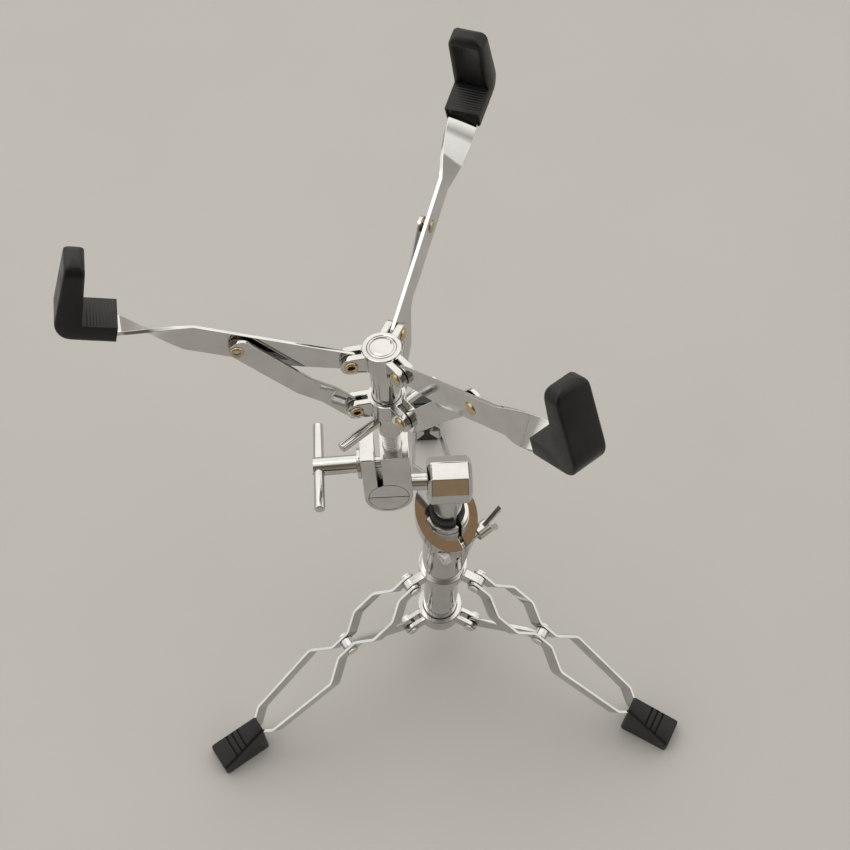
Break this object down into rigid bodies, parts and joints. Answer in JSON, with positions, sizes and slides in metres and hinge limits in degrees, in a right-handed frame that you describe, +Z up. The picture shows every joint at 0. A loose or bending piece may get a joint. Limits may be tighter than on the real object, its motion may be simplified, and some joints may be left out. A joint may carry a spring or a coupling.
{
  "type": "snare drum stand",
  "caption": "Folding snare drum stand: double-strip tripod legs, clamped column, two-way tilter and a basket of arms with rubber tips that grips the drum's rim.",
  "frame": {"origin": "on the floor, under the axis of the column, midway between the three feet", "axes": "+Z up along the column, X along the tilter's shaft with the basket towards -X, one leg points along +Y"},
  "size_m": [0.4427, 0.351, 0.618],
  "materials": {
    "chrome": "bright chrome plate on steel",
    "cast_chrome": "chrome plate on a casting, slightly softer",
    "bright_steel": "zinc-bright steel",
    "brass_rivet": "yellow passivated rivet",
    "rubber": "satin black moulded rubber",
    "black_nylon": "matte black nylon"
  },
  "bodies": {
    "tripod_head": {"leg_hub": "cast_chrome", "leg_pins": "bright_steel", "height_clamp": "cast_chrome", "clamp_bushing": "black_nylon", "clamp_nut": "bright_steel"},
    "clamp_bolt": {"clamp_bolt": "cast_chrome"},
    "left_leg": {"left_leg_strip_1": "chrome", "left_leg_strip_2": "chrome", "left_knee_rivet": "bright_steel", "left_foot": "rubber"},
    "left_brace": {"left_brace": "chrome"},
    "right_leg": {"right_leg_strip_1": "chrome", "right_leg_strip_2": "chrome", "right_knee_rivet": "bright_steel", "right_foot": "rubber"},
    "right_brace": {"right_brace": "chrome"},
    "back_leg": {"back_leg_strip_1": "chrome", "back_leg_strip_2": "chrome", "back_knee_rivet": "bright_steel", "back_foot": "rubber"},
    "back_brace": {"back_brace": "chrome"},
    "base": {"base_tube": "chrome", "brace_hub": "cast_chrome", "brace_pins": "bright_steel"},
    "column_guide": {"column_plug": "black_nylon"},
    "column": {"column_tube": "chrome", "tilter_barrel": "cast_chrome", "tilter_shaft": "chrome"},
    "tilt_core": {"tilt_half_upper": "cast_chrome", "tilt_half_lower": "cast_chrome"},
    "tilter": {"tilter_block": "cast_chrome", "basket_rod": "bright_steel", "basket_tube": "chrome", "tube_cap": "chrome", "arm_hub": "cast_chrome", "arm_pins": "brass_rivet"},
    "tilt_bolt": {"tilt_bolt": "chrome", "tilt_bolt_bar": "chrome", "tilt_bolt_washer": "chrome"},
    "strut_hub": {"strut_hub": "cast_chrome", "strut_pins": "brass_rivet"},
    "nut_carriage": {"thrust_washer": "chrome"},
    "basket_nut": {"basket_nut": "cast_chrome", "nut_bars": "chrome"},
    "left_arm": {"left_arm": "chrome", "left_arm_rivet": "brass_rivet", "left_tip": "rubber"},
    "left_strut": {"left_strut": "chrome", "left_strut_rivet": "brass_rivet"},
    "right_arm": {"right_arm": "chrome", "right_arm_rivet": "brass_rivet", "right_tip": "rubber"},
    "right_strut": {"right_strut": "chrome", "right_strut_rivet": "brass_rivet"},
    "back_arm": {"back_arm": "chrome", "back_arm_rivet": "brass_rivet", "back_tip": "rubber"},
    "back_strut": {"back_strut": "chrome", "back_strut_rivet": "brass_rivet"}
  },
  "joints": [
    {"name": "left_leg_fold", "type": "hinge", "parent": "tripod_head", "child": "left_leg", "pos_m": [-0.02685, -0.0155, 0.152], "axis": [0.5, -0.866, 0], "range_deg": [0, 40]},
    {"name": "left_brace_fold", "type": "hinge", "parent": "left_leg", "child": "left_brace", "pos_m": [-0.07967, -0.046, 0.102], "axis": [0.5, -0.866, 0], "range_deg": [-80, 0]},
    {"name": "base_drop", "type": "hinge", "parent": "left_brace", "child": "base", "pos_m": [-0.02685, -0.0155, 0.052], "axis": [0.5, -0.866, 0], "range_deg": [0, 40]},
    {"name": "right_leg_fold", "type": "hinge", "parent": "tripod_head", "child": "right_leg", "pos_m": [0.02685, -0.0155, 0.152], "axis": [0.5, 0.866, 0], "range_deg": [0, 40]},
    {"name": "right_brace_fold", "type": "hinge", "parent": "right_leg", "child": "right_brace", "pos_m": [0.07967, -0.046, 0.102], "axis": [0.5, 0.866, 0], "range_deg": [-80, 0]},
    {"name": "back_leg_fold", "type": "hinge", "parent": "tripod_head", "child": "back_leg", "pos_m": [0, 0.031, 0.152], "axis": [-1, 0, 0], "range_deg": [0, 40]},
    {"name": "back_brace_fold", "type": "hinge", "parent": "back_leg", "child": "back_brace", "pos_m": [0, 0.092, 0.102], "axis": [-1, 0, 0], "range_deg": [-80, 0]},
    {"name": "clamp_bolt_turn", "type": "hinge", "parent": "tripod_head", "child": "clamp_bolt", "pos_m": [0.01107, -0.01581, 0.2357], "axis": [0.8192, 0.5736, 0], "continuous": true},
    {"name": "column_height", "type": "slide", "parent": "tripod_head", "child": "column_guide", "axis": [0, 0, 1], "range_m": [0, 0.14]},
    {"name": "column_swivel", "type": "hinge", "parent": "column_guide", "child": "column", "pos_m": [0, 0, 0], "axis": [0, 0, 1], "continuous": true},
    {"name": "basket_lean", "type": "hinge", "parent": "column", "child": "tilt_core", "pos_m": [-0.0432, 0, 0.3225], "axis": [1, 0, 0], "range_deg": [-32.5, 57.5]},
    {"name": "basket_roll", "type": "hinge", "parent": "tilt_core", "child": "tilter", "pos_m": [-0.0432, 0, 0.3225], "axis": [0, 0.9763, -0.2164], "range_deg": [-17, 20]},
    {"name": "tilt_bolt_turn", "type": "hinge", "parent": "tilter", "child": "tilt_bolt", "pos_m": [-0.04453, 0.00549, 0.34726], "axis": [0.9986, 0.0113, 0.0511], "continuous": true},
    {"name": "left_arm_fold", "type": "hinge", "parent": "tilter", "child": "left_arm", "pos_m": [-0.0656, 0.02762, 0.45672], "axis": [-0.0992, 0.9703, -0.2204], "range_deg": [0, 25]},
    {"name": "right_arm_fold", "type": "hinge", "parent": "tilter", "child": "right_arm", "pos_m": [-0.03249, 0.01338, 0.46165], "axis": [-0.811, -0.5789, 0.0848], "range_deg": [0, 25]},
    {"name": "back_arm_fold", "type": "hinge", "parent": "tilter", "child": "back_arm", "pos_m": [-0.0361, 0.04868, 0.45363], "axis": [0.9102, -0.3914, 0.1356], "range_deg": [0, 25]},
    {"name": "strut_hub_slide", "type": "slide", "parent": "tilter", "child": "strut_hub", "axis": [-0.0523, 0.2161, 0.975], "range_m": [0, 0.0135]},
    {"name": "left_strut_fold", "type": "hinge", "parent": "strut_hub", "child": "left_strut", "pos_m": [-0.06322, 0.01778, 0.41236], "axis": [-0.0992, 0.9703, -0.2204], "range_deg": [0, 13.4]},
    {"name": "right_strut_fold", "type": "hinge", "parent": "strut_hub", "child": "right_strut", "pos_m": [-0.03011, 0.00355, 0.41729], "axis": [-0.811, -0.5789, 0.0848], "range_deg": [0, 13.4]},
    {"name": "back_strut_fold", "type": "hinge", "parent": "strut_hub", "child": "back_strut", "pos_m": [-0.03372, 0.03884, 0.40927], "axis": [0.9102, -0.3914, 0.1356], "range_deg": [0, 13.4]},
    {"name": "nut_travel", "type": "slide", "parent": "tilter", "child": "nut_carriage", "axis": [-0.0523, 0.2161, 0.975], "range_m": [-0.012, 0]},
    {"name": "nut_turn", "type": "hinge", "parent": "nut_carriage", "child": "basket_nut", "pos_m": [-0.04517, 0.03173, 0.46562], "axis": [-0.0523, 0.2161, 0.975], "range_deg": [-1728, 0]}
  ],
  "couplings": [
    {"joint": "left_brace_fold", "follows": "left_leg_fold", "ratio": -2},
    {"joint": "base_drop", "follows": "left_leg_fold", "ratio": 1},
    {"joint": "right_leg_fold", "follows": "left_leg_fold", "ratio": 1},
    {"joint": "right_brace_fold", "follows": "left_leg_fold", "ratio": -2},
    {"joint": "back_leg_fold", "follows": "left_leg_fold", "ratio": 1},
    {"joint": "back_brace_fold", "follows": "left_leg_fold", "ratio": -2},
    {"joint": "right_arm_fold", "follows": "left_arm_fold", "ratio": 1},
    {"joint": "back_arm_fold", "follows": "left_arm_fold", "ratio": 1},
    {"joint": "strut_hub_slide", "follows": "left_arm_fold", "m_per_rad": 0.0299},
    {"joint": "left_strut_fold", "follows": "left_arm_fold", "ratio": 0.515},
    {"joint": "right_strut_fold", "follows": "left_arm_fold", "ratio": 0.515},
    {"joint": "back_strut_fold", "follows": "left_arm_fold", "ratio": 0.515},
    {"joint": "nut_travel", "follows": "nut_turn", "m_per_rad": 0.00039789}
  ]
}
